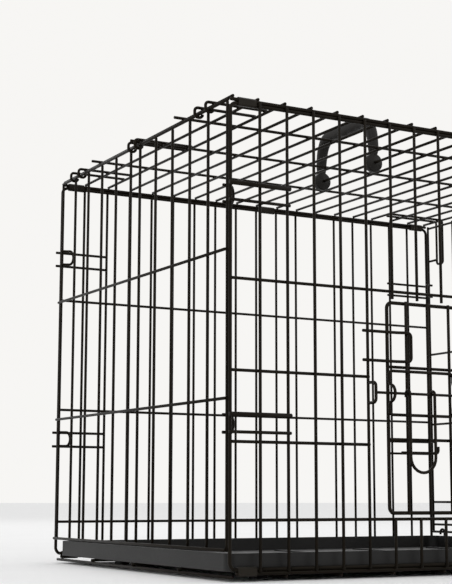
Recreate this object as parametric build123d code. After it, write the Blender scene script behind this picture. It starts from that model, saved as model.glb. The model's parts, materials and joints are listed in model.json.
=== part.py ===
"""Folding wire pet crate: two doors, a slide-out floor tray and a carry handle.

Millimetres, +Z up. The crate stands on z = 0 and is centred on X and Y. X runs along its length,
from the plain left end to the right end with the end door, and Y from the front door to the back.
Places are worked out in corner coordinates first: x from the left corner wires and y from the
front corner wires. save() moves every piece by the same amount to the crate's own origin.
"""
from build123d import *

import os
from math import cos, pi, sin

# Overall size, between the centres of the corner wires
length = 610.0
width = 470.0
side_height = 487.6
length_gaps = 18

# Wire gauges, sheet metal, and how far crossing wires sink into each other at a weld
grid_wire = 3.4
frame_wire = 4.0
catch_bar_wire = 5.0
bolt_wire = 3.0
sheet = 0.8
weld = 0.01
wire_sides = 8

# Clearances between pieces that move against each other
free_gap = 0.4
hinge_play = 0.36
bolt_play = 0.35
clip_play = 0.02

# Feet, base grid and floor tray
foot_drop = 3.0
foot_length = 22.0
foot_width = 12.0
foot_inset_gaps = 2
foot_inset_side = 60.0
base_gap_step = 2
tray_lift = 0.3
tray_wall = 2.0
tray_depth = 18.5
tray_side_gap = 3.0
tray_end_gap = 3.0
tray_corner = 14.0
tray_rib_count = 5
tray_rib_width = 8.0
tray_rib_rise = 1.5
tray_rib_margin = 45.0

# Side panels: corner bends, rails measured down from the top wire, short bars at the corners
corner_bend = 7.0
upright_tip = 2.5
back_rail_drops = (154.2, 300.6, 447.0)
front_lintel_drop = 188.3
front_sill_drop = 438.0
front_rail_drops = (284.6, 358.2)
rail_tip = 4.0
stub_tip = 9.0
bar_drops = (88.6, 330.7)
bar_pair_gap = 18.0
bar_gaps = 2
bar_stub = 5.0

# Top panel
top_end_inset = 3.0
long_wire_count = 3
long_wire_tip = 8.0
knuckle_gaps = 2
knuckle_reach = 5.45
knuckle_return = 4.2
clip_width = 22.0

# End panels
end_centre_gap = 26.0
end_gaps_each_side = 5
left_rail_drops = (158.1, 314.0)
left_bottom_z = 32.0
right_lintel_drop = 196.4
right_sill_drop = 455.0
right_rail_drops = (303.9, 421.4)
right_riser_insets = (26.0, 104.0)
right_pivot_rise = 4.0
pivot_x = -0.8
catch_length = 16.0
catch_slant = 6.0
catch_stub = 3.7
prong_inset = 17.0
prong_spacing = 15.0
prong_reach = 86.0
prong_drop = 56.0
prong_tie_drop = 50.0

# Doorways and doors, heights measured down from the top wire of the side panels
front_doorway_gaps = (5, 13)
end_doorway_inset = 66.0
door_side_gap = 26.0
door_hinge_gap = 22.5
door_bend = 6.0
front_door_drops = (201.6, 272.9, 352.1, 431.4)
end_door_drops = (209.5, 280.0, 360.0, 444.0)
door_pitch = 29.4
hinge_eye_inset = 30.0
hinge_eye_run = 8.0

# Slide bolts, with their guide frames, handles, keepers and door stops
front_bolt_drop = 302.5
end_bolt_drop = 330.0
bolt_length = 112.0
guide_overhang = 3.2
guide_width = 87.0
guide_up = 24.6
guide_down = 23.2
guide_bend = 4.5
guide_bulge = 12.0
guide_bulge_half = 10.5
bulge_steps = 4
handle_left = 18.8
handle_width = 33.6
handle_drop = 85.6
handle_bend = 10.0
keeper_below = 64.0
keeper_left = 12.0
keeper_hook = 7.0
stop_above = 35.5
stop_height = 32.0
stop_past = 4.1
stop_lap = 9.0
stop_kink = 8.0
staple_half = 11.0

# Carry handle on the middle cross wire of the top
handle_foot_spacing = 120.0
handle_foot_size = 24.0
handle_foot_thick = 10.0
handle_bore_play = 0.05
grip_rise = 62.0
grip_length = 84.0
grip_height = 15.0
grip_thick = 17.0
grip_bumps = 4
grip_bump_depth = 2.5

# Worked out from the sizes above
pitch = length / length_gaps
mid = width / 2
cross = grid_wire - weld
frame_cross = (grid_wire + frame_wire) / 2 - weld

base_cross_z = foot_drop + grid_wire / 2
base_edge_z = base_cross_z + frame_cross
base_long_z = base_cross_z + cross
tray_z = base_long_z + grid_wire / 2 + tray_lift
side_bottom_z = base_edge_z + frame_wire + weld
side_top_z = side_bottom_z + side_height
top_edge_z = side_top_z + frame_wire + weld
top_cross_z = top_edge_z + frame_cross
top_long_z = top_cross_z + cross

upright_out = frame_cross
rail_out = upright_out - cross
bar_out = upright_out + cross
clip_bore = frame_wire + 2 * clip_play
clip_reach = clip_bore / 2 + sheet

eye_radius = grid_wire + hinge_play
left_pivot_z = top_cross_z - grid_wire - free_gap
right_pivot_x = length - pivot_x
right_pivot_z = tray_z + tray_depth + right_pivot_rise + grid_wire / 2
right_top_z = left_pivot_z
edge_inset = clip_reach + free_gap + grid_wire / 2
end_pitch = (mid - edge_inset - end_centre_gap / 2) / end_gaps_each_side

# How far pieces of a door stand out from the plane of its doorway's posts
guide_out = bar_out
eye_out = (grid_wire + frame_wire) / 2
bolt_out = upright_out + grid_wire * 1.5 + free_gap + hinge_play + bolt_wire / 2
bolt_eye = (bolt_wire + grid_wire) / 2 + hinge_play
staple_out = bolt_out + bolt_wire / 2 + bolt_play + grid_wire / 2
latch_reach = guide_out + guide_bulge + grid_wire / 2

# The crate's own origin is the middle of its footprint, latches and wire tips included
origin_x = (right_pivot_x + latch_reach - long_wire_tip) / 2
origin_y = (width + bar_out + grid_wire / 2 - upright_out - latch_reach) / 2


def section(diameter):
    """The outline of a wire, with flats that face the wires crossing it."""
    return RegularPolygon(diameter / 2, wire_sides, major_radius=False, rotation=180 / wire_sides)


def across(start, run):
    """A plane square across a run of wire, turned the same way for every wire."""
    side = Vector(0, 0, 1) if abs(run.Z) < 0.9 * run.length else Vector(1, 0, 0)
    return Plane(origin=start, x_dir=side, z_dir=run)


def bar(start, end, diameter=grid_wire):
    """A straight wire."""
    start, end = Vector(*start), Vector(*end)
    return extrude(across(start, end - start) * section(diameter), amount=(end - start).length)


def pin(start, end, diameter=grid_wire):
    """A straight round wire that other pieces turn on."""
    start, end = Vector(*start), Vector(*end)
    return Solid.make_cylinder(diameter / 2, (end - start).length, Plane(start, z_dir=end - start))


def eased(points, radius):
    """The same corners, with each sharp one replaced by a short slant for a bend of that radius."""
    cut = radius * (1 - pi / 8)
    corners = [Vector(*point) for point in points]
    route = [corners[0]]
    for before, corner, after in zip(corners, corners[1:], corners[2:]):
        back = (before - corner).normalized()
        on = (after - corner).normalized()
        if back.dot(on) < -0.5:
            route.append(corner)
        else:
            route += [corner + back * cut, corner + on * cut]
    return route + [corners[-1]]


def bent(points, radius, diameter=grid_wire):
    """A bent wire as straight runs that meet face to face at mitres."""
    route = eased(points, radius)
    runs = [(end - start).normalized() for start, end in zip(route, route[1:])]
    pieces = []
    for n, run in enumerate(runs):
        first, last = n == 0, n == len(runs) - 1
        start = route[n] if first else route[n] - run * diameter
        end = route[n + 1] if last else route[n + 1] + run * diameter
        piece = extrude(across(start, run) * section(diameter), amount=(end - start).length)
        if not first:
            mitre = Plane(origin=route[n], z_dir=runs[n - 1] + run)
            piece = split(piece, bisect_by=mitre, keep=Keep.TOP)
        if not last:
            mitre = Plane(origin=route[n + 1], z_dir=run + runs[n + 1])
            piece = split(piece, bisect_by=mitre, keep=Keep.BOTTOM)
        pieces.append(piece)
    return pieces


def rounded_frame(left, right, bottom, top, bend, place):
    """A rectangular frame of one wire, its ends butted in the middle of the bottom run.

    place turns a distance across and a height into x, y, z.
    """
    middle = (left + right) / 2
    corners = [(middle, bottom), (left, bottom), (left, top), (right, top), (right, bottom),
               (middle, bottom)]
    return bent([place(*corner) for corner in corners], bend, frame_wire)


def save(name, solids):
    """Write one sub-part, moved from corner coordinates to the crate's own origin."""
    shift = Location((-origin_x, -origin_y, 0))
    pieces = [shift * piece for solid in solids for piece in solid.solids()]
    export_step(Compound(children=pieces), f"parts/{name}.step")


def gap_x(number):
    """How far along the crate an upright or a cross wire stands."""
    return number * pitch


def cross_places(step):
    """Where cross wires lie, the outermost ones just inside the ends."""
    inner = [gap_x(n) for n in range(step, length_gaps, step)]
    return [top_end_inset] + inner + [length - top_end_inset]


def long_places():
    """Where the long wires of the top and the base lie."""
    return [width * (n + 1) / (long_wire_count + 1) for n in range(long_wire_count)]


def end_places():
    """Where the uprights of an end panel stand, a narrow gap in the middle."""
    half = [mid - end_centre_gap / 2 - n * end_pitch for n in range(end_gaps_each_side + 1)]
    return half[::-1] + [width - y for y in half]


def mirrored(places):
    """The places given and their mirror images in the middle of the width."""
    return [*places, *[width - y for y in places]]


def base():
    """Feet, base grid, and the wires that rise at the right end to hold its hinge."""
    save("base_cross_wires", [bar((x, 0, base_cross_z), (x, width, base_cross_z))
                              for x in cross_places(base_gap_step)])
    save("base_edge_wires", [bar((corner_bend, y, base_edge_z), (length - corner_bend, y, base_edge_z),
                                 frame_wire) for y in (0, width)])
    save("base_long_wires", [bar((0, y, base_long_z), (length, y, base_long_z))
                             for y in long_places()])

    start = gap_x(length_gaps - base_gap_step) - grid_wire
    outer, inner = right_pivot_x + eye_radius, right_pivot_x - eye_radius
    top, end = right_pivot_z + eye_radius, right_pivot_z - eye_radius
    risers = []
    for y in mirrored(right_riser_insets):
        corners = [(start, base_long_z), (outer, base_long_z), (outer, top), (inner, top), (inner, end)]
        risers += bent([(x, y, z) for x, z in corners], eye_radius)
    save("base_hinge_risers", risers)

    feet = []
    for n in (foot_inset_gaps, length_gaps - foot_inset_gaps):
        for y in mirrored([foot_inset_side]):
            block = Pos(gap_x(n), y, base_cross_z / 2) * Box(foot_width, foot_length, base_cross_z)
            block = chamfer(block.edges().filter_by(Axis.Z), foot_width / 5)
            groove = bar((gap_x(n), y - foot_length, base_cross_z), (gap_x(n), y + foot_length, base_cross_z))
            feet.append(block - groove)
    save("floor_feet", feet)


def corner_bars(y, outward, upper_wire):
    """The short bars, in pairs, that tie the corner wires to their neighbours."""
    made = []
    for drop in bar_drops:
        for below, gauge in ((0, upper_wire), (bar_pair_gap, grid_wire)):
            side = y + outward * (upright_out + (grid_wire + gauge) / 2 - weld)
            z = side_top_z - drop - below
            inner = bar_gaps * pitch + grid_wire / 2
            made.append(bar((-bar_stub, side, z), (inner, side, z), gauge))
            made.append(bar((length - inner, side, z), (length + bar_stub, side, z), gauge))
    return made


def back_panel():
    """The plain long side."""
    save("back_frame", rounded_frame(0, length, side_bottom_z, side_top_z, corner_bend,
                                     lambda x, z: (x, width, z)))
    side = width + upright_out
    low, high = side_bottom_z - upright_tip, side_top_z + upright_tip
    save("back_upright_wires", [bar((gap_x(n), side, low), (gap_x(n), side, high))
                                for n in range(1, length_gaps)])
    side = width + rail_out
    end = frame_wire / 2 - weld
    heights = [side_top_z - drop for drop in back_rail_drops]
    save("back_rails", [bar((end, side, z), (length - end, side, z)) for z in heights])
    save("back_corner_bars", corner_bars(width, 1, grid_wire))


def front_panel():
    """The long side with the doorway, and the staple that takes the door's bolt."""
    save("front_frame", rounded_frame(0, length, side_bottom_z, side_top_z, corner_bend,
                                      lambda x, z: (x, 0, z)))
    low, high = side_bottom_z - upright_tip, side_top_z + upright_tip
    lintel, sill = side_top_z - front_lintel_drop, side_top_z - front_sill_drop
    first, last = front_doorway_gaps

    def upright(n, bottom, top, shape=bar):
        return shape((gap_x(n), -upright_out, bottom), (gap_x(n), -upright_out, top))

    whole = [*range(1, first), *range(last + 1, length_gaps)]
    save("front_upright_wires", [upright(n, low, high) for n in whole])
    save("front_doorway_posts", [upright(first, low, high), upright(last, low, high, pin)])
    short = range(first + 1, last)
    save("front_short_wires", [upright(n, lintel - stub_tip, high) for n in short]
         + [upright(n, low, sill + grid_wire / 2) for n in short])

    end = frame_wire / 2 - weld
    rails = [bar((end, -rail_out, z), (length - end, -rail_out, z)) for z in (lintel, sill)]
    for z in [side_top_z - drop for drop in front_rail_drops]:
        rails.append(bar((end, -rail_out, z), (gap_x(first) + rail_tip, -rail_out, z)))
        rails.append(bar((gap_x(last) - rail_tip, -rail_out, z), (length - end, -rail_out, z)))
    save("front_rails", rails)
    save("front_corner_bars", corner_bars(0, -1, catch_bar_wire))


def top_panel():
    """The grid on top, and the bent wires on it that hold the end panels."""
    centre = gap_x(length_gaps // 2)
    ends = (-upright_tip, width + upright_tip)
    save("top_cross_wires", [bar((x, ends[0], top_cross_z), (x, ends[1], top_cross_z))
                             for x in cross_places(1) if abs(x - centre) > pitch / 2])
    save("top_handle_wire", [pin((centre, ends[0], top_cross_z), (centre, ends[1], top_cross_z))])
    save("top_edge_wires", [bar((0, y, top_edge_z), (length, y, top_edge_z), frame_wire)
                            for y in (0, width)])
    save("top_long_wires", [bar((-long_wire_tip, y, top_long_z), (length, y, top_long_z))
                            for y in long_places()])

    outer, inner = pivot_x - knuckle_reach, pivot_x + knuckle_return
    low = left_pivot_z - eye_radius
    beside, start = grid_wire + free_gap, gap_x(knuckle_gaps) + grid_wire
    edge_gaps = end_places()[1:3]
    knuckles = []
    for y in mirrored([edge_gaps[0] - beside, sum(edge_gaps) / 2, mid - end_centre_gap / 2 + beside]):
        corners = [(start, top_long_z), (outer, top_long_z), (outer, low), (inner, low),
                   (inner, left_pivot_z)]
        knuckles += bent([(x, y, z) for x, z in corners], eye_radius)
    save("top_hinge_knuckles", knuckles)

    outer = right_pivot_x + cross + grid_wire + free_gap
    start, low = length - prong_reach, side_top_z - prong_drop
    prongs = []
    for near, far in ((prong_inset, prong_inset + prong_spacing),
                      (width - prong_inset, width - prong_inset - prong_spacing)):
        corners = [(start, near, top_long_z), (outer, near, top_long_z), (outer, near, low),
                   (outer, far, low), (outer, far, top_long_z), (start, far, top_long_z)]
        prongs += bent(corners, eye_radius)
    save("top_catch_prongs", prongs)


def edge_clips(name, low, high):
    """Sheet-metal clips folded round two edge wires, which let the crate fold along them."""
    first = (corner_bend + pitch - grid_wire / 2) / 2
    made = []
    for y in (0, width):
        for x in (first, gap_x(length_gaps // 2) + pitch / 2, length - first):
            start = Plane(origin=(x - clip_width / 2, y, (low + high) / 2), x_dir=(0, 0, 1), z_dir=(1, 0, 0))
            sleeve = wrap(high - low, clip_bore + 2 * sheet) - wrap(high - low, clip_bore)
            made.append(extrude(start * sleeve, amount=clip_width))
    save(name, made)


def wrap(spacing, diameter):
    """The outline round two wires that lie side by side."""
    pair = [Pos(side * spacing / 2, 0) * section(diameter) for side in (-1, 1)]
    return make_hull(pair[0].edges() + pair[1].edges())


def catch_loops(x, inward):
    """D-shaped spring loops beside the corner wires, one at each pair of short bars."""
    made = []
    for y, side in ((edge_inset, 1), (width - edge_inset, -1)):
        near = y + side * cross
        for drop in bar_drops:
            top = side_top_z - drop
            low = top - bar_pair_gap
            stub, knee = x - inward * catch_stub, x + inward * catch_stub
            bow = x + inward * (catch_length - catch_stub)
            bowed = near + side * catch_slant
            corners = [(stub, near, top), (knee, near, top), (bow, bowed, top), (bow, bowed, low),
                       (knee, near, low), (stub, near, low)]
            made += bent(corners, grid_wire)
    return made


def left_end():
    """The plain end panel, hung from the top and folding up under it."""
    ends = (edge_inset - grid_wire / 2, width - edge_inset + grid_wire / 2)
    save("left_end_pivot_wire", [pin((pivot_x, ends[0], left_pivot_z), (pivot_x, ends[1], left_pivot_z))])
    top, low = left_pivot_z - grid_wire / 2 + weld, left_bottom_z - grid_wire / 2
    save("left_end_upright_wires", [bar((pivot_x, y, low), (pivot_x, y, top)) for y in end_places()])
    side = pivot_x - cross
    heights = [side_top_z - drop for drop in left_rail_drops] + [left_bottom_z]
    save("left_end_rails", [bar((side, ends[0], z), (side, ends[1], z)) for z in heights])
    save("left_end_catch_loops", catch_loops(pivot_x, 1))


def right_end():
    """The end panel with the end doorway, hinged above the tray and folding down onto it."""
    x = right_pivot_x
    ends = (edge_inset - grid_wire / 2, width - edge_inset + grid_wire / 2)
    posts = mirrored([end_doorway_inset])
    lintel, sill = side_top_z - right_lintel_drop, side_top_z - right_sill_drop
    save("right_end_pivot_wire", [pin((x, ends[0], right_pivot_z), (x, ends[1], right_pivot_z))])
    low = right_pivot_z + grid_wire / 2 - weld
    save("right_end_edge_wires", [bar((x, y, low), (x, y, right_top_z)) for y in mirrored([edge_inset])])
    save("right_end_doorway_posts", [shape((x, y, low), (x, y, right_top_z))
                                     for shape, y in zip((bar, pin), posts)])
    inner = [y for y in end_places() if posts[0] + grid_wire < y < posts[1] - grid_wire]
    save("right_end_short_wires", [bar((x, y, lintel - stub_tip), (x, y, right_top_z)) for y in inner])

    side = x + cross
    rails = [bar((side, ends[0], z), (side, ends[1], z))
             for z in (right_top_z - grid_wire / 2, lintel, sill)]
    for z in [side_top_z - drop for drop in right_rail_drops]:
        rails.append(bar((side, ends[0], z), (side, posts[0] + rail_tip, z)))
        rails.append(bar((side, posts[1] - rail_tip, z), (side, ends[1], z)))
    tie, z = prong_inset + grid_wire, side_top_z - prong_tie_drop
    rails += [bar((side, ends[0], z), (side, tie, z)), bar((side, width - tie, z), (side, ends[1], z))]
    save("right_end_rails", rails)
    save("right_end_catch_loops", catch_loops(x, -1))


def door(prefix, doorway, drops, bolt_drop, place):
    """A door with its stop, slide bolt, guide frame, handle and keeper, and the post's staple.

    place turns a distance from the latch-side post, a distance out from the plane of the posts,
    and a height into x, y, z.
    """
    left, right = door_side_gap, doorway - door_hinge_gap
    top, *middle, bottom = [side_top_z - drop for drop in drops]
    save(f"{prefix}_door_frame",
         rounded_frame(left, right, bottom, top, door_bend, lambda along, z: place(along, 0, z)))
    count = int((right - left) // door_pitch)
    first = (left + right - (count - 1) * door_pitch) / 2
    reach = frame_wire / 2
    save(f"{prefix}_door_upright_wires",
         [bar(place(first + n * door_pitch, upright_out, bottom - reach),
              place(first + n * door_pitch, upright_out, top + reach)) for n in range(count)])
    end = frame_wire / 2 - weld
    save(f"{prefix}_door_rails", [bar(place(left + end, rail_out, z), place(right - end, rail_out, z))
                                  for z in middle])
    hinge_eyes(prefix, (top - hinge_eye_inset, bottom + hinge_eye_inset), right, doorway, place)
    door_stop(prefix, side_top_z - bolt_drop + stop_above, first, place)
    slide_bolt(prefix, side_top_z - bolt_drop, left, place)


def hinge_eyes(prefix, heights, right, doorway, place):
    """Wires on the inside of a door that curl round its hinge post."""
    start, near, far = right - hinge_eye_run, doorway - eye_out, doorway + eye_out
    eyes = []
    for z in heights:
        corners = [(start, -eye_out), (far, -eye_out), (far, eye_out), (near, eye_out), (near, 0)]
        eyes += bent([place(along, out, z) for along, out in corners], grid_wire)
    save(f"{prefix}_door_hinge_eyes", eyes)


def door_stop(prefix, low, first_upright, place):
    """A bent wire on the outside of a door that laps the post and stops the door there."""
    lap, knee = eye_radius, first_upright - grid_wire - stop_kink
    end = first_upright + stop_past
    leg = [(-stop_lap, lap), (knee, lap), (knee + stop_kink, guide_out), (end, guide_out)]
    corners = [place(along, out, low + stop_height) for along, out in leg]
    corners += [place(along, out, low) for along, out in reversed(leg)]
    save(f"{prefix}_door_stop", bent(corners, guide_bend))


def slide_bolt(prefix, level, left, place):
    """The bolt with the frame that guides it, its handle and keeper, and the staple on the post."""
    start, end = left - guide_overhang, left - guide_overhang + guide_width
    high, low = level + guide_up, level - guide_down
    steps = [pi * n / bulge_steps for n in range(bulge_steps + 1)]
    bulge = [(guide_out + guide_bulge * sin(turn), level - guide_bulge_half * cos(turn)) for turn in steps]
    middle = (start + end) / 2
    corners = [(middle, guide_out, low), (start, guide_out, low)]
    corners += [(start, out, z) for out, z in bulge]
    corners += [(start, guide_out, high), (end, guide_out, high)]
    corners += [(end, out, z) for out, z in reversed(bulge)]
    corners += [(end, guide_out, low), (middle, guide_out, low)]
    save(f"{prefix}_bolt_guide_frame", bent([place(*corner) for corner in corners], guide_bend))

    tip = grid_wire / 2 + free_gap
    save(f"{prefix}_bolt_rod", [pin(place(tip, bolt_out, level), place(tip + bolt_length, bolt_out, level),
                                    bolt_wire)])

    near, far = bolt_out - bolt_eye, bolt_out + bolt_eye
    leg = [(near, level - bolt_eye), (near, level + bolt_eye), (far, level + bolt_eye),
           (far, level - bolt_eye)]
    bottom = level - handle_drop
    legs = []
    for along in (left + handle_left, left + handle_left + handle_width):
        legs.append(bent([place(along, out, z) for out, z in leg], bolt_eye))
    bow = [place(left + handle_left, far, level - bolt_eye), place(left + handle_left, far, bottom),
           place(left + handle_left + handle_width, far, bottom),
           place(left + handle_left + handle_width, far, level - bolt_eye)]
    save(f"{prefix}_bolt_handle", [*legs[0], *bent(bow, handle_bend), *legs[1]])

    z = level - keeper_below
    hook = left + handle_left + handle_width + (grid_wire + bolt_wire) / 2 + free_gap
    corners = [place(left + keeper_left, guide_out, z), place(hook, guide_out, z),
               place(hook, far, z), place(hook, far, z + keeper_hook)]
    save(f"{prefix}_handle_keeper", bent(corners, bolt_wire, bolt_wire))

    post = grid_wire / 2 - weld
    corners = [place(0, post, level + staple_half), place(0, staple_out, level + staple_half),
               place(0, staple_out, level - staple_half), place(0, post, level - staple_half)]
    save(f"{prefix}_bolt_staple", bent(corners, guide_bend))


def carry_handle():
    """A moulded handle whose two feet clip round the middle cross wire of the top."""
    x, z = gap_x(length_gaps // 2), top_cross_z
    grip_z = z + grip_rise
    feet = [mid - handle_foot_spacing / 2, mid + handle_foot_spacing / 2]
    path = FilletPolyline((x, feet[0], z), (x, mid - grip_length / 2, grip_z),
                          (x, mid + grip_length / 2, grip_z), (x, feet[1], z), radius=grip_height)
    start = Plane(origin=path @ 0, x_dir=(1, 0, 0), z_dir=path % 0)
    arm = Rectangle(handle_foot_thick, grip_height * 0.75)
    body = sweep(start * chamfer(arm.vertices(), grip_height / 6), path=path)
    front = Plane(origin=(x, mid - grip_length * 0.375, grip_z), x_dir=(1, 0, 0), z_dir=(0, 1, 0))
    body += extrude(front * RectangleRounded(grip_thick, grip_height, grip_height / 3),
                    amount=grip_length * 0.75)
    for y in feet:
        body += Pos(x, y, z) * Rot(90, 0, 0) * Cylinder(handle_foot_size / 2, handle_foot_thick)
    step = grip_length * 0.75 / grip_bumps
    for n in range(1, grip_bumps):
        y = mid - grip_length * 0.375 + n * step
        groove = Pos(x, y, grip_z - grip_height / 2 - grip_bump_depth)
        body -= groove * Rot(0, 90, 0) * Cylinder(grip_bump_depth * 2, grip_thick * 2)
    bore = Cylinder(grid_wire / 2 + handle_bore_play, width)
    save("carry_handle", [body - Pos(x, mid, z) * Rot(90, 0, 0) * bore])


def floor_tray():
    """A moulded pan that lies on the base grid and slides out under the left end panel."""
    low_x = top_end_inset
    high_x = right_pivot_x + eye_radius - grid_wire / 2 - tray_end_gap
    size_x, size_y = high_x - low_x, width - frame_wire - 2 * tray_side_gap
    centre = Pos((low_x + high_x) / 2, mid, tray_z)
    inside = RectangleRounded(size_x - 2 * tray_wall, size_y - 2 * tray_wall, tray_corner - tray_wall)
    tray = extrude(centre * RectangleRounded(size_x, size_y, tray_corner), amount=tray_depth)
    tray -= extrude(centre * Pos(0, 0, tray_wall) * inside, amount=tray_depth)
    rib = Rectangle(tray_rib_width, size_y - 2 * tray_rib_margin)
    spacing = (size_x - 2 * tray_rib_margin) / (tray_rib_count - 1)
    for n in range(tray_rib_count):
        place = centre * Pos(tray_rib_margin - size_x / 2 + n * spacing, 0, tray_wall)
        tray += extrude(place * rib, amount=tray_rib_rise)
    save("floor_tray", [tray])


os.makedirs("parts", exist_ok=True)
base()
back_panel()
front_panel()
top_panel()
edge_clips("top_edge_clips", side_top_z, top_edge_z)
edge_clips("base_edge_clips", base_edge_z, side_bottom_z)
left_end()
right_end()
front_post = gap_x(front_doorway_gaps[0])
door("front", gap_x(front_doorway_gaps[1]) - front_post, front_door_drops, front_bolt_drop,
     lambda along, out, z: (front_post + along, -upright_out - out, z))
door("end", width - 2 * end_doorway_inset, end_door_drops, end_bolt_drop,
     lambda along, out, z: (right_pivot_x + out, end_doorway_inset + along, z))
carry_handle()
floor_tray()
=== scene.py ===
"""Looks for the folding wire pet crate: smooth round wires, weld beads, moulded plastics, studio.

Every wire node of the frame is read back as centre lines and drawn again as one smooth round wire
on the same line. Metres, in the frame's own axes.
"""

import json
from math import copysign, cos, hypot, pi, radians, sin

import bpy
import numpy as np
from mathutils import Matrix, Vector


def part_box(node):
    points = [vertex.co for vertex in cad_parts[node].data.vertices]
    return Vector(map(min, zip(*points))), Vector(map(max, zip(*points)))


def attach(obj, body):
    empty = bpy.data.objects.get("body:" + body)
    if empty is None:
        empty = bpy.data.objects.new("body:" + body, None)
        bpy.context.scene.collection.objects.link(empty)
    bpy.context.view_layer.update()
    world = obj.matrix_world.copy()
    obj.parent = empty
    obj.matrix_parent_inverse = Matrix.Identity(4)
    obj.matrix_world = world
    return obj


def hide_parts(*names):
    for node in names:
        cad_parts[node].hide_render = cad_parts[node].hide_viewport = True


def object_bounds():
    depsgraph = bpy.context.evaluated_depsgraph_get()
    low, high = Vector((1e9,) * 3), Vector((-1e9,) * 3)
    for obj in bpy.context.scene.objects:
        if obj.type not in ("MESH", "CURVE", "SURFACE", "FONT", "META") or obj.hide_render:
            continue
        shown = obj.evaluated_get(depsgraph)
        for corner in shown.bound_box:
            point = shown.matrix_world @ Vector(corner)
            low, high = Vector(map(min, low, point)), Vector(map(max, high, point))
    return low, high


MM = 0.001

# Wires as the frame has them: octagonal prisms, and round where something turns on them
CAD_SIDES = 8
ONE_PLACE = 0.001 * MM
FLAT = 0.9999  # least cosine between the normals within a flat face
SAME_GAUGE = 0.1 * MM
JOIN = 0.02 * MM  # ends closer than this meet

# Wires as they are drawn
WIRE_SIDES = 16
BEND_STEPS = 6
STRAIGHT = radians(179)
END_ROUND = 0.35 * MM
END_SIZE = 0.8
TIP_TRIM = 1.6 * MM

# Bends wider than their mitres: how far each reaches along its runs, by the last words of the name
WIDE_BENDS = {"catch_loops": 9 * MM, "bolt_handle": 16.8 * MM}
LONGEST_SLANT = 9 * MM
SQUARE = 0.05  # greatest cosine between two runs at a right angle
ONWARD = 0.5  # least cosine between a run and the slant after it

# Weld beads where two wires of one body cross, sized by the thinner wire's radius
SHORTEST_CROSSED = 4 * MM
STEEPNESS = 0.5  # least squared sine of the angle between the wires
END_SLACK = 0.001  # how far past a run's ends a crossing may be, as a share of the run
BEAD_REACH = 0.12 * MM
BEAD_SPREAD = 0.8
BEAD_THICK = 0.3
BEAD_RINGS = 4
BEAD_SIDES = 10
BEAD_LOBES = 4
LOBE_DEPTH = 0.2

# Nodes that aren't wire: the width of the eased edges of those that stay as they are in the CAD
EASED_EDGES = {"top_edge_clips": 0.25 * MM, "base_edge_clips": 0.25 * MM,
               "floor_tray": 0.6 * MM, "floor_feet": 0.4 * MM}
EASE_STEPS = 3
EASE_ANGLE = radians(35)
NOT_WIRE = (*EASED_EDGES, "carry_handle")

# Feet of the carry handle
FOOT_RADIUS = 12 * MM
FOOT_THICK = 10 * MM
FOOT_BORE = 1.95 * MM
FOOT_BOSS = 4.4 * MM
BOSS_RISE = 0.5 * MM
FOOT_EASE = 1.2 * MM
FOOT_SIDES = 40

# Arms and grip of the carry handle
GRIP_DROP = 12 * MM  # from the top of the CAD handle down to the middle line of the grip
GRIP_ROUTE = (  # mm inwards from a foot, mm above the pivot, share of the grip's height
    (0, 6.5, 0), (-0.5, 0, 0.42), (5, 0, 0.8), (20, 0, 1))
GRIP_CROWN = 0.4 * MM
GRIP_SIZES = (  # share of the way, half width and half depth in mm
    (0, 4.6, 4.2), (0.1, 6.6, 5.4), (0.24, 7.0, 6.4), (0.36, 7.8, 7.2), (0.5, 8.0, 7.4),
    (0.64, 7.8, 7.2), (0.76, 7.0, 6.4), (0.9, 6.6, 5.4), (1, 4.6, 4.2))
GRIP_SIDES = 24
GRIP_STEPS = 9
GRIP_ROUNDNESS = 0.7  # 1 is an ellipse, less is squarer
BUMP_DEPTH = 1.5 * MM
BUMP_PITCH = 0.3  # as a share of half the handle's length, like the next
BUMP_END = 0.66
BUMP_FADE = 0.3
SHARPEST_SMOOTHED = radians(50)

# Finishes
BLACK_COAT = {"dark": (0.0028, 0.0019, 0.001), "light": (0.0078, 0.0056, 0.0034),
              "worn": (0.024, 0.019, 0.013), "rough": 0.4, "shine": 0.11}
CLIP_COAT = {"dark": (0.004, 0.0031, 0.002), "light": (0.0105, 0.0084, 0.006),
             "worn": (0.032, 0.027, 0.021), "rough": 0.36, "shine": 0.2}
HANDLE_PLASTIC = {"dark": (0.0042, 0.0033, 0.0023), "light": (0.0098, 0.0078, 0.0058),
                  "grain": 1300.0, "rough": 0.5}
TRAY_PLASTIC = {"dark": (0.008, 0.0078, 0.0074), "light": (0.017, 0.0165, 0.016),
                "grain": 900.0, "rough": 0.42}
FOOT_PLASTIC = {"dark": (0.007, 0.0068, 0.0064), "light": (0.014, 0.0135, 0.013),
                "grain": 1500.0, "rough": 0.55}
FLOOR_GREY = 0.86
FLOOR_ROUGH = 0.9

# Textures, with the shader nodes' own names for their settings
COAT_CLOUDS = {"Scale": 38.0, "Detail": 4.0, "Roughness": 0.6}
COAT_PEEL = {"Scale": 1400.0, "Detail": 2.0}
COAT_SCUFFS = {"Scale": 210.0, "Detail": 6.0, "Roughness": 0.72}
COAT_BUMP = {"Strength": 0.35, "Distance": 0.06 * MM}
COAT_TINT = (1, 0.92, 0.8, 1)
PLASTIC_CLOUDS = {"Scale": 14.0, "Detail": 5.0}
PLASTIC_SCRATCHES = {"Scale": 1.0, "Detail": 3.0}
PLASTIC_BUMP = {"Strength": 0.3, "Distance": 0.1 * MM}
PLASTIC_SHINE = 0.22
SCRATCH_STRETCH = (60.0, 900.0, 900.0)
FLOOR_MOTTLE = {"Scale": 6.0, "Detail": 3.0}
MOTTLE_DEPTH = 0.01
MIX_FACTOR, MIX_FIRST, MIX_SECOND, MIX_RESULT = 0, 6, 7, 2  # a mix node's sockets for colours

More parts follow.
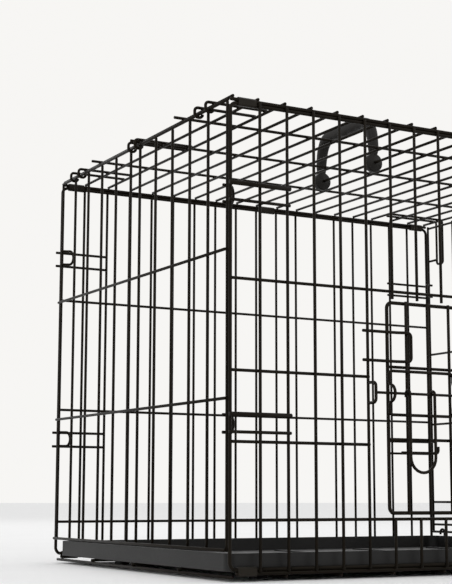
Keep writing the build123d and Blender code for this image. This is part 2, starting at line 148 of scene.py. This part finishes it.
# Where each ramp begins and ends, and how far the roughness varies down and up
COAT_CLOUD_ENDS = 0.3, 0.72
SCUFF_ENDS = 0.63, 0.74
PLASTIC_CLOUD_ENDS = 0.3, 0.75
MOTTLE_ENDS = 0.3, 0.7
COAT_ROUGH_SPREAD = 0.07, 0.12
PLASTIC_ROUGH_SPREAD = 0.1, 0.12

# Studio: the sky's light is even, and the camera sees a sky of its own
FLOOR_SPAN = 40  # half the floor's side, as a multiple of half the crate's diagonal
SKY_LIGHT = (1, 1, 1, 1), 0.9
SKY_SEEN = (1, 0.99, 0.97, 1), 0.93
LAMPS = {"key": ((-1.6, -2.2, 2.4), 1.6, 15),  # place, size, power
         "fill": ((2.4, -1.6, 1.5), 2.0, 5),
         "back": ((0.6, 2.6, 2.2), 1.6, 9)}
LAMPS_AIM = Vector((0, 0, 0.25))

# The photograph's camera, placed from the middle of the crate between its corner wires
CAMERA_FROM_MIDDLE = Vector((-988.1, -1470.9, 0)) * MM
CAMERA_BELOW_TOP = 414.6 * MM
CAMERA_YAW = radians(28.757)
CAMERA_PITCH = radians(8.489)
CAMERA_ROLL = radians(0.114)
FOCAL_PIXELS = 1373.67
IMAGE_HEIGHT = 584
SENSOR = 36.0
CLIP = 0.01, 100

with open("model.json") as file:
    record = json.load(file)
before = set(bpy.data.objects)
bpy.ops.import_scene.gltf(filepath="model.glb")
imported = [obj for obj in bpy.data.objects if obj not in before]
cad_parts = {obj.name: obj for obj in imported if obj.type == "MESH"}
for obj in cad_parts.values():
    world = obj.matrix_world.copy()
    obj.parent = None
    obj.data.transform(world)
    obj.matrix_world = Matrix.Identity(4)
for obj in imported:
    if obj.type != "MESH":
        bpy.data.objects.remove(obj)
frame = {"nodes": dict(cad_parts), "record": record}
cad_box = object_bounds()
body_of_node = {node: body for body, nodes in frame["record"]["behaviour"]["bodies"].items()
                for node in nodes}


def node_tree(name):
    """A new material, its shader, the object's own places, and ways to add and to link nodes."""
    material = bpy.data.materials.new(name)
    material.use_nodes = True
    tree = material.node_tree
    shader = tree.nodes["Principled BSDF"]

    def add(kind, links=(), **values):
        node = tree.nodes.new(kind)
        for key, value in values.items():
            if hasattr(node, key):
                setattr(node, key, value)
            else:
                node.inputs[key.replace("_", " ")].default_value = value
        for source, socket in links:
            tree.links.new(source, node.inputs[socket])
        return node

    return material, shader, add("ShaderNodeTexCoord").outputs["Object"], add, tree.links.new


def ramp(add, source, ends, low, high):
    """A ramp between two colours as a factor goes from one end to the other."""
    node = add("ShaderNodeValToRGB", [(source, "Fac")])
    for element, place, colour in zip(node.color_ramp.elements, ends, (low, high)):
        element.position = place
        element.color = (*colour, 1)
    return node.outputs["Color"]


def grey(level):
    """A colour without a hue."""
    return level, level, level


def texture(shader, add, link, rough, spread, rough_source, bump_source, bump):
    """Vary a shader's roughness with one texture and its surface with another."""
    below, above = spread
    limits = {"To_Min": rough - below, "To_Max": rough + above}
    varied = add("ShaderNodeMapRange", [(rough_source, "Value")], **limits)
    link(varied.outputs["Result"], shader.inputs["Roughness"])
    raised = add("ShaderNodeBump", [(bump_source, "Height")], **bump)
    link(raised.outputs["Normal"], shader.inputs["Normal"])


def coat(name, dark, light, worn, rough, shine):
    """Black coat on steel: cloudy colour, fine orange-peel bump and scuffs worn to dull grey."""
    material, shader, place, add, link = node_tree(name)
    clouds, peel, scuffs = (add("ShaderNodeTexNoise", [(place, "Vector")], **values).outputs["Fac"]
                            for values in (COAT_CLOUDS, COAT_PEEL, COAT_SCUFFS))
    base = ramp(add, clouds, COAT_CLOUD_ENDS, dark, light)
    wear = ramp(add, scuffs, SCUFF_ENDS, grey(0), grey(1))
    colour = add("ShaderNodeMix", data_type="RGBA")
    link(wear, colour.inputs[MIX_FACTOR])
    link(base, colour.inputs[MIX_FIRST])
    colour.inputs[MIX_SECOND].default_value = (*worn, 1)
    link(colour.outputs[MIX_RESULT], shader.inputs["Base Color"])
    shader.inputs["Specular IOR Level"].default_value = shine
    shader.inputs["Specular Tint"].default_value = COAT_TINT
    texture(shader, add, link, rough, COAT_ROUGH_SPREAD, clouds, peel, COAT_BUMP)
    return material


def plastic(name, dark, light, grain, rough):
    """Moulded black plastic: even grain, faint clouding and fine scratches."""
    material, shader, place, add, link = node_tree(name)
    clouds = add("ShaderNodeTexNoise", [(place, "Vector")], **PLASTIC_CLOUDS)
    cells = add("ShaderNodeTexVoronoi", [(place, "Vector")], Scale=grain)
    stretch = add("ShaderNodeMapping", [(place, "Vector")], Scale=SCRATCH_STRETCH).outputs["Vector"]
    scratches = add("ShaderNodeTexNoise", [(stretch, "Vector")], **PLASTIC_SCRATCHES)
    base = ramp(add, clouds.outputs["Fac"], PLASTIC_CLOUD_ENDS, dark, light)
    link(base, shader.inputs["Base Color"])
    shader.inputs["Specular IOR Level"].default_value = PLASTIC_SHINE
    texture(shader, add, link, rough, PLASTIC_ROUGH_SPREAD, scratches.outputs["Fac"],
            cells.outputs["Distance"], PLASTIC_BUMP)
    return material


def floor_paint(name):
    """A plain matt grey with a faint mottle."""
    material, shader, place, add, link = node_tree(name)
    mottle = add("ShaderNodeTexNoise", [(place, "Vector")], **FLOOR_MOTTLE)
    darker, lighter = grey(FLOOR_GREY - MOTTLE_DEPTH), grey(FLOOR_GREY + MOTTLE_DEPTH)
    base = ramp(add, mottle.outputs["Fac"], MOTTLE_ENDS, darker, lighter)
    link(base, shader.inputs["Base Color"])
    shader.inputs["Roughness"].default_value = FLOOR_ROUGH
    return material


def faces_of(mesh):
    """The faces of a node's solids as (places, outline, whether flat), and the places' points.

    A CAD face has vertices of its own, so every face is an island of the mesh. Places are numbered
    so that the corners of two faces that meet have the same number.
    """
    numbers, points, place_of = {}, [], []
    for vertex in mesh.vertices:
        key = tuple(round(c / ONE_PLACE) for c in vertex.co)
        if key not in numbers:
            numbers[key] = len(points)
            points.append(vertex.co.copy())
        place_of.append(numbers[key])
    group = list(range(len(mesh.vertices)))

    def root(n):
        while group[n] != n:
            group[n] = group[group[n]]
            n = group[n]
        return n

    for edge in mesh.edges:
        group[root(edge.vertices[0])] = root(edge.vertices[1])
    islands = {}
    for polygon in mesh.polygons:
        islands.setdefault(root(polygon.vertices[0]), []).append(polygon)
    faces = []
    for polygons in islands.values():
        count = {}
        for polygon in polygons:
            corners = [place_of[v] for v in polygon.vertices]
            for a, b in zip(corners, corners[1:] + corners[:1]):
                key = (min(a, b), max(a, b))
                count[key] = count.get(key, 0) + 1
        outline = {edge for edge, uses in count.items() if uses == 1}
        flat = all(polygon.normal.dot(polygons[0].normal) > FLAT for polygon in polygons)
        faces.append(({place for edge in count for place in edge}, outline, flat))
    return faces, points


def middle_of(points, cap):
    """The centre of a cut wire end."""
    return sum((points[n] for n in cap), Vector()) / len(cap)


def from_line(point, start, end):
    """How far a point is from the line through two others."""
    along = (end - start).normalized()
    off = point - start
    return (off - along * off.dot(along)).length


def straight_pieces(mesh):
    """Each straight piece of a wire node as (start, end, radius), or None if any isn't a wire.

    A flat face with at least as many corners as a wire has sides is a cut end. A face that takes in
    the corners of two such ends is the skin of a round piece. The others are sides of the prisms.
    """
    faces, points = faces_of(mesh)
    caps, skins = [], []
    for places, outline, flat in faces:
        (caps if flat and len(places) >= CAD_SIDES else skins).append((places, outline))
    cap_edges = {edge for _, outline in caps for edge in outline}
    caps_at = {}
    for cap, _ in caps:
        for place in cap:
            caps_at.setdefault(place, []).append(cap)
    pieces, group, sides = [], {}, []

    def root(edge):
        while group[edge] != edge:
            edge = group[edge]
        return edge

    for places, outline in skins:
        if len(places) >= 2 * CAD_SIDES:
            ends = {id(cap): cap for place in places for cap in caps_at.get(place, [])
                    if cap <= places}
            if len(ends) != 2:
                return None
            start, end = (middle_of(points, cap) for cap in ends.values())
            pieces.append((start, end, from_line(points[next(iter(places))], start, end)))
            continue
        runs = [edge for edge in outline if edge not in cap_edges]
        if not 1 <= len(runs) <= 2:
            return None
        for edge in runs:
            group.setdefault(edge, edge)
            sides.append(edge)
        group[root(runs[0])] = root(runs[-1])
    prisms = {}
    for edge in set(sides):
        prisms.setdefault(root(edge), []).append(edge)
    for edges in prisms.values():
        longest = max(edges, key=lambda e: (points[e[0]] - points[e[1]]).length)
        along = points[longest[1]] - points[longest[0]]
        ends = []
        for last in (0, 1):
            tips = {edge[last if along.dot(points[edge[1]] - points[edge[0]]) > 0 else 1 - last]
                    for edge in edges}
            near = [cap for cap in caps_at[longest[last]] if tips <= cap]
            if not near:
                return None
            ends.append(middle_of(points, near[0]))
        radius = from_line(points[longest[0]], *ends) * cos(pi / CAD_SIDES)
        pieces.append((*ends, radius))
    return pieces


def grow(line, radius, pieces):
    """Move one of the pieces to an end of the line that it meets, and say whether there was one."""
    for n, (a, b, r) in enumerate(pieces):
        if abs(r - radius) > SAME_GAUGE:
            continue
        for near, far in ((a, b), (b, a)):
            if (near - line[-1]).length < JOIN:
                line.append(far)
            elif (near - line[0]).length < JOIN:
                line.insert(0, far)
            else:
                continue
            pieces.pop(n)
            return True
    return False


def wires_of(mesh):
    """The wires of a node as (corners, radius), pieces that meet end to end joined."""
    pieces = straight_pieces(mesh)
    if pieces is None:
        return None
    wires = []
    while pieces:
        start, end, radius = pieces.pop()
        line = [start, end]
        while grow(line, radius, pieces):
            pass
        wires.append((line, radius))
    return wires


def sharp(corners):
    """The corners as they are before the mitred slants, where each slant's two runs would meet."""
    line = list(corners)
    n = 1
    while n < len(line) - 2:
        slant = line[n + 1] - line[n]
        before = (line[n] - line[n - 1]).normalized()
        after = (line[n + 2] - line[n + 1]).normalized()
        square = abs(before.dot(after)) < SQUARE
        if square and slant.length < LONGEST_SLANT and slant.normalized().dot(before) > ONWARD:
            line[n:n + 2] = [line[n] + before * slant.dot(before)]
        n += 1
    return line


def smooth_line(corners, reach):
    """The centre line with each corner turned into an arc.

    Without a reach, an arc takes half of the shorter run from both runs. With one, it takes that
    much from each run, or half of the run if that is less.
    """
    line = [corners[0]]
    for before, corner, after in zip(corners, corners[1:], corners[2:]):
        back, on = before - corner, after - corner
        turn = back.normalized().angle(on.normalized())
        if turn > STRAIGHT:
            continue
        if reach:
            sides = min(back.length / 2, reach), min(on.length / 2, reach)
        else:
            sides = (min(back.length, on.length) / 2,) * 2
        near, far = corner + back.normalized() * sides[0], corner + on.normalized() * sides[1]
        weight = sin(turn / 2)
        for n in range(BEND_STEPS + 1):
            t = n / BEND_STEPS
            ends, middle = (1 - t) ** 2 + t ** 2, 2 * t * (1 - t) * weight
            line.append((near * (1 - t) ** 2 + far * t ** 2 + corner * middle) / (ends + middle))
    line.append(corners[-1])
    return line


def turns(count, offset=0):
    """Evenly spaced angles, once round."""
    return [2 * pi * (k + offset) / count for k in range(count)]


def heading(line, n):
    """The direction of a line at one of its points."""
    return (line[min(n + 1, len(line) - 1)] - line[max(n - 1, 0)]).normalized()


def ring_mesh(rows, verts, faces, closed):
    """Join rows of points, each a closed ring, into a skin that is capped unless the rows close."""
    first, count = len(verts), len(rows[0])
    for row in rows:
        verts.extend(row)
    total = len(rows)
    for n in range(total if closed else total - 1):
        a, b = first + n * count, first + (n + 1) % total * count
        for k in range(count):
            m = (k + 1) % count
            faces.append((a + k, a + m, b + m, b + k))
    if not closed:
        last = first + (total - 1) * count
        faces.append(tuple(first + k for k in reversed(range(count))))
        faces.append(tuple(last + k for k in range(count)))


def tube(corners, radius, verts, faces, reach):
    """Add one round wire with eased ends to a list of vertices and faces."""
    line = smooth_line(sharp(corners) if reach else corners, reach)
    kept = [line[0]]
    for point in line[1:]:
        if (point - kept[-1]).length > JOIN:
            kept.append(point)
    sizes = [1.0] * len(kept)
    if (corners[0] - corners[-1]).length >= JOIN:
        first, last = (kept[1] - kept[0]).normalized(), (kept[-1] - kept[-2]).normalized()
        kept.insert(1, kept[0] + first * END_ROUND)
        kept.insert(-1, kept[-1] - last * END_ROUND)
        sizes = [END_SIZE] + [1.0] * (len(kept) - 2) + [END_SIZE]
    rows = []
    side = heading(kept, 0).orthogonal().normalized()
    for n, (point, size) in enumerate(zip(kept, sizes)):
        ahead = heading(kept, n)
        side = (side - ahead * side.dot(ahead)).normalized()
        other = ahead.cross(side)
        rows.append([point + (side * cos(turn) + other * sin(turn)) * radius * size
                     for turn in turns(WIRE_SIDES)])
    ring_mesh(rows, verts, faces, False)


def add_mesh(name, verts, faces, material):
    """A smooth-shaded mesh object."""
    mesh = bpy.data.meshes.new(name)
    mesh.from_pydata([tuple(v) for v in verts], [], faces)
    mesh.materials.append(material)
    mesh.validate()
    mesh.shade_smooth()
    obj = bpy.data.objects.new(name, mesh)
    bpy.context.scene.collection.objects.link(obj)
    return obj


def crossings(lines):
    """Where two wires touch sideways, as (place, direction across, first run, thinner radius)."""
    runs = [(a, b, r) for corners, r in lines for a, b in zip(corners, corners[1:])
            if (b - a).length > SHORTEST_CROSSED]
    starts = np.array([a for a, b, r in runs])
    spans = np.array([b - a for a, b, r in runs])
    sizes = np.array([r for a, b, r in runs])
    found = []
    for n, (a, b, radius) in enumerate(runs):
        rest = slice(n + 1, None)
        u, v, w = spans[n], spans[rest], starts[n] - starts[rest]
        uu, uv, vv = u @ u, v @ u, (v * v).sum(axis=1)
        uw, vw = w @ u, (v * w).sum(axis=1)
        det = uu * vv - uv * uv
        crossing = det > STEEPNESS * uu * vv
        det = np.where(crossing, det, 1)
        s, t = (uv * vw - vv * uw) / det, (uu * vw - uv * uw) / det
        gap = w + s[:, None] * u - t[:, None] * v
        length = np.linalg.norm(gap, axis=1)
        touch = np.abs(length - radius - sizes[rest]) < BEAD_REACH
        inside = (np.minimum(s, t) > -END_SLACK) & (np.maximum(s, t) < 1 + END_SLACK)
        for k in np.nonzero(crossing & touch & inside)[0]:
            across = Vector(-gap[k]).normalized()
            place = a + float(s[k]) * (b - a) + across * radius
            thinner = min(radius, float(sizes[n + 1 + k]))
            found.append((place, across, (b - a).normalized(), thinner))
    return found


def bead(place, across, along, radius, verts, faces):
    """Add the flattened squeeze-out of a spot weld between two crossing wires."""
    other = across.cross(along)
    first = len(verts)
    for n in range(1, BEAD_RINGS):
        tilt = pi * n / BEAD_RINGS
        for turn in turns(BEAD_SIDES, 0.5):
            spread = radius * BEAD_SPREAD * sin(tilt) * (1 - LOBE_DEPTH * cos(BEAD_LOBES * turn))
            verts.append(place + (along * cos(turn) + other * sin(turn)) * spread
                         + across * cos(tilt) * radius * BEAD_THICK)
    top, bottom = len(verts), len(verts) + 1
    verts += [place + across * radius * BEAD_THICK, place - across * radius * BEAD_THICK]
    for k in range(BEAD_SIDES):
        m = (k + 1) % BEAD_SIDES
        faces.append((top, first + k, first + m))
        for n in range(BEAD_RINGS - 2):
            a, b = first + n * BEAD_SIDES, first + (n + 1) * BEAD_SIDES
            faces.append((a + k, b + k, b + m, a + m))
        last = first + (BEAD_RINGS - 2) * BEAD_SIDES
        faces.append((bottom, last + m, last + k))


def reach_of(name):
    """How far a wire's bends reach along its runs, where they are wider than its mitres."""
    return next((reach for ending, reach in WIDE_BENDS.items() if name.endswith(ending)), 0)


def dress_wires(material):
    """Round wires in place of every wire node, and weld beads on each body."""
    lines = {}
    for name, node in frame["nodes"].items():
        if name in NOT_WIRE:
            continue
        wires = wires_of(node.data)
        if wires is None:
            print("kept as CAD:", name)
            dress_cad(name, material)
            continue
        verts, faces = [], []
        body = body_of_node[name]
        trim = TIP_TRIM if name == "top_cross_wires" else 0
        for corners, radius in wires:
            ahead = (corners[-1] - corners[0]).normalized() * trim
            corners = [corners[0] + ahead, *corners[1:-1], corners[-1] - ahead]
            tube(corners, radius, verts, faces, reach_of(name))
            lines.setdefault(body, []).append((corners, radius))
        drawn = add_mesh(name + "_round", verts, faces, material)
        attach(drawn, body)
        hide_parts(name)
    for body, drawn in lines.items():
        verts, faces = [], []
        for place, across, along, radius in crossings(drawn):
            bead(place, across, along, radius, verts, faces)
        if faces:
            beads = add_mesh(body + "_weld_beads", verts, faces, material)
            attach(beads, body)


def dress_cad(name, material):
    """Keep a CAD node, with a finish of its own and its edges eased."""
    node = frame["nodes"][name]
    node.data.materials.clear()
    node.data.materials.append(material)
    if name in EASED_EDGES:
        ease = node.modifiers.new("eased_edges", "BEVEL")
        ease.width = EASED_EDGES[name]
        ease.segments = EASE_STEPS
        ease.limit_method = "ANGLE"
        ease.angle_limit = EASE_ANGLE
        ease.harden_normals = True


def between(stops, t):
    """The values at t on a smooth run through stops (t, values...)."""
    for (t0, *low), (t1, *high) in zip(stops, stops[1:]):
        if t <= t1:
            share = (t - t0) / (t1 - t0)
            share = share * share * (3 - 2 * share)
            return [a + (b - a) * share for a, b in zip(low, high)]
    return list(stops[-1][1:])


def spline(points, steps):
    """A smooth line through points."""
    ends = [2 * points[0] - points[1], *points, 2 * points[-1] - points[-2]]
    line = []
    for a, b, c, d in zip(ends, ends[1:], ends[2:], ends[3:]):
        for n in range(steps):
            t = n / steps
            line.append(0.5 * (2 * b + (c - a) * t + (2 * a - 5 * b + 4 * c - d) * t * t
                               + (3 * b - a - 3 * c + d) * t ** 3))
    line.append(points[-1])
    return line


def handle_foot(x, y, z, verts, faces):
    """Add a foot of the handle: a bored disc with eased rims and a low boss on both faces."""
    top = FOOT_THICK / 2
    half = [(FOOT_BORE, top), (FOOT_BOSS, top), (FOOT_BOSS + BOSS_RISE, top - BOSS_RISE),
            (FOOT_RADIUS - FOOT_EASE, top - BOSS_RISE),
            (FOOT_RADIUS - FOOT_EASE / 3, top - FOOT_EASE), (FOOT_RADIUS, top - 2 * FOOT_EASE)]
    outline = [(r, -out) for r, out in half] + half[::-1]
    ring_mesh([[Vector((x + r * sin(turn), y + out, z + r * cos(turn))) for r, out in outline]
               for turn in turns(FOOT_SIDES)], verts, faces, True)


def handle_grip(pivot, half, top, verts, faces):
    """Add both arms and the grip as one swelling bar, with finger bumps below."""
    arm = [(-half + inwards * MM, up * MM + share * top) for inwards, up, share in GRIP_ROUTE]
    route = [*arm, (0, top + GRIP_CROWN), *((-y, z) for y, z in reversed(arm))]
    path = spline([Vector((0, y, z)) for y, z in route], GRIP_STEPS)
    sideways = Vector((1, 0, 0))
    rows = []
    for n, point in enumerate(path):
        out = sideways.cross(heading(path, n))
        wide, deep = (size * MM for size in between(GRIP_SIZES, n / (len(path) - 1)))
        fade = max(0.0, 1 - abs(point.y) / (half * BUMP_END)) ** BUMP_FADE
        bump = fade * BUMP_DEPTH * (0.5 + 0.5 * cos(point.y / (half * BUMP_PITCH) * 2 * pi))
        row = []
        for turn in turns(GRIP_SIDES):
            c, s = cos(turn), sin(turn)
            x = copysign(wide * abs(c) ** GRIP_ROUNDNESS, c)
            y = copysign(deep * abs(s) ** GRIP_ROUNDNESS, s)
            if s < 0:
                y -= bump * abs(s)
            row.append(pivot + point + sideways * x + out * y)
        rows.append(row)
    ring_mesh(rows, verts, faces, False)


def sculpt_handle(material):
    """The moulded handle: two bored feet, swelling arms and a grip with finger bumps below."""
    low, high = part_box("carry_handle")
    middle = (low + high) / 2
    pivot_z = low.z + FOOT_RADIUS
    half = (high.y - low.y) / 2 - FOOT_THICK / 2
    verts, faces = [], []
    for side in (-1, 1):
        handle_foot(middle.x, middle.y + side * half, pivot_z, verts, faces)
    pivot = Vector((middle.x, middle.y, pivot_z))
    handle_grip(pivot, half, high.z - pivot_z - GRIP_DROP, verts, faces)
    handle = add_mesh("carry_handle_moulded", verts, faces, material)
    handle.data.set_sharp_from_angle(angle=SHARPEST_SMOOTHED)
    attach(handle, "carry_handle")
    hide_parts("carry_handle")


def pale_floor(radius):
    """A plain pale floor."""
    half = radius * FLOOR_SPAN
    corners = [(-half, -half, 0), (half, -half, 0), (half, half, 0), (-half, half, 0)]
    floor = add_mesh("floor", corners, [(0, 1, 2, 3)], floor_paint("floor_pale"))


def plain_sky():
    """A sky that lights the crate evenly, and that the camera sees as a pale ground."""
    world = bpy.data.worlds.new("studio")
    bpy.context.scene.world = world
    world.use_nodes = True
    nodes, links = world.node_tree.nodes, world.node_tree.links
    nodes.clear()
    mix = nodes.new("ShaderNodeMixShader")
    for n, (colour, strength) in enumerate((SKY_LIGHT, SKY_SEEN)):
        sky = nodes.new("ShaderNodeBackground")
        sky.inputs["Color"].default_value = colour
        sky.inputs["Strength"].default_value = strength
        links.new(sky.outputs[0], mix.inputs[1 + n])
    links.new(nodes.new("ShaderNodeLightPath").outputs["Is Camera Ray"], mix.inputs[0])
    links.new(mix.outputs[0], nodes.new("ShaderNodeOutputWorld").inputs["Surface"])


def soft_lamps():
    """Three soft lamps, all aimed at the crate."""
    for name, (place, size, power) in LAMPS.items():
        light = bpy.data.lights.new(name, "AREA")
        light.energy, light.size = power, size
        lamp = bpy.data.objects.new(name, light)
        lamp.location = place
        lamp.rotation_euler = (LAMPS_AIM - Vector(place)).to_track_quat("-Z", "Y").to_euler()
        bpy.context.scene.collection.objects.link(lamp)


def camera():
    """The camera at the photograph's place, angle and lens."""
    low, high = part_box("front_frame")
    _, back_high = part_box("back_frame")
    half_wire = (high.y - low.y) / 2
    middle = Vector(((low.x + high.x) / 2, (low.y + back_high.y) / 2, high.z - half_wire))
    data = bpy.data.cameras.new("camera")
    data.sensor_width = SENSOR
    data.lens = FOCAL_PIXELS / IMAGE_HEIGHT * SENSOR
    data.clip_start, data.clip_end = CLIP
    cam = bpy.data.objects.new("camera", data)
    cam.location = middle + CAMERA_FROM_MIDDLE - Vector((0, 0, CAMERA_BELOW_TOP))
    level = cos(CAMERA_PITCH)
    ahead = Vector((sin(CAMERA_YAW) * level, cos(CAMERA_YAW) * level, sin(CAMERA_PITCH)))
    right = Vector((cos(CAMERA_YAW), -sin(CAMERA_YAW), 0))
    up = right.cross(ahead)
    turn = Matrix((right, up, -ahead)).transposed()
    cam.rotation_euler = (turn @ Matrix.Rotation(CAMERA_ROLL, 3, "Z")).to_euler()
    bpy.context.scene.collection.objects.link(cam)
    bpy.context.scene.camera = cam


bpy.context.scene.view_settings.view_transform = "Standard"
dress_wires(coat("black_coat", **BLACK_COAT))
clip_coat = coat("clip_coat", **CLIP_COAT)
for clips in ("top_edge_clips", "base_edge_clips"):
    dress_cad(clips, clip_coat)
sculpt_handle(plastic("handle_plastic", **HANDLE_PLASTIC))
dress_cad("floor_tray", plastic("tray_plastic", **TRAY_PLASTIC))
dress_cad("floor_feet", plastic("foot_plastic", **FOOT_PLASTIC))
pale_floor(hypot(*(cad_box[1] - cad_box[0])[:2]) / 2)
plain_sky()
soft_lamps()
camera()
